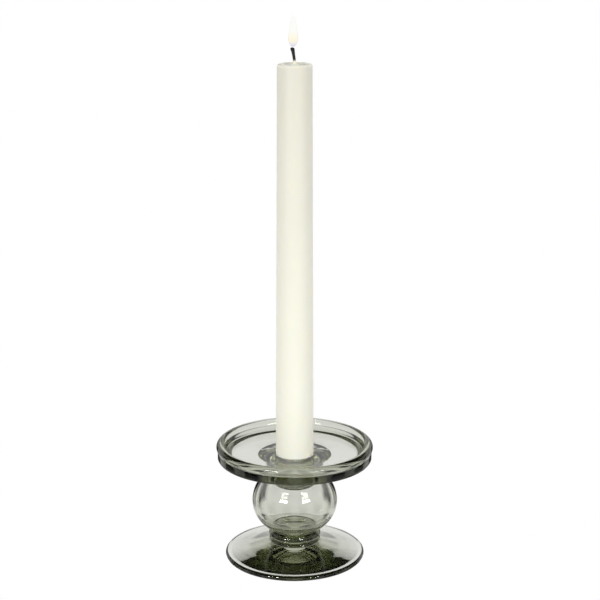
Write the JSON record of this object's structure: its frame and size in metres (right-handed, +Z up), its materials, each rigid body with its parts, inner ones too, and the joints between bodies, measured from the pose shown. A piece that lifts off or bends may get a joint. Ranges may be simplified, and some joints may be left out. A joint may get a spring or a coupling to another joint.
{
  "type": "glass candlestick",
  "caption": "Smoked glass candlestick with a flared foot, hollow ball stem and round drip tray, holding a lit ivory dinner candle that lifts out of its socket.",
  "frame": {"origin": "middle of the foot's underside, on the table", "axes": "+Z up along the candle, -Y towards the viewer, +X to the viewer's right"},
  "size_m": [0.091, 0.091, 0.3153],
  "materials": {
    "smoked_glass": "clear polished glass with a grey-green tint",
    "candle_wax": "smooth ivory wax with a soft sheen",
    "wick_cotton": "burnt braided cotton",
    "flame_glow": "glowing gas, pale yellow"
  },
  "bodies": {
    "glass": {"foot": "smoked_glass", "stem_ring": "smoked_glass", "ball": "smoked_glass", "candle_socket": "smoked_glass", "drip_tray": "smoked_glass"},
    "candle": {"candle": "candle_wax", "wick": "wick_cotton", "flame": "flame_glow"}
  },
  "joints": [
    {"name": "candle_lift", "type": "slide", "parent": "glass", "child": "candle", "axis": [0, 0, 1], "range_m": [0, 0.03]}
  ]
}
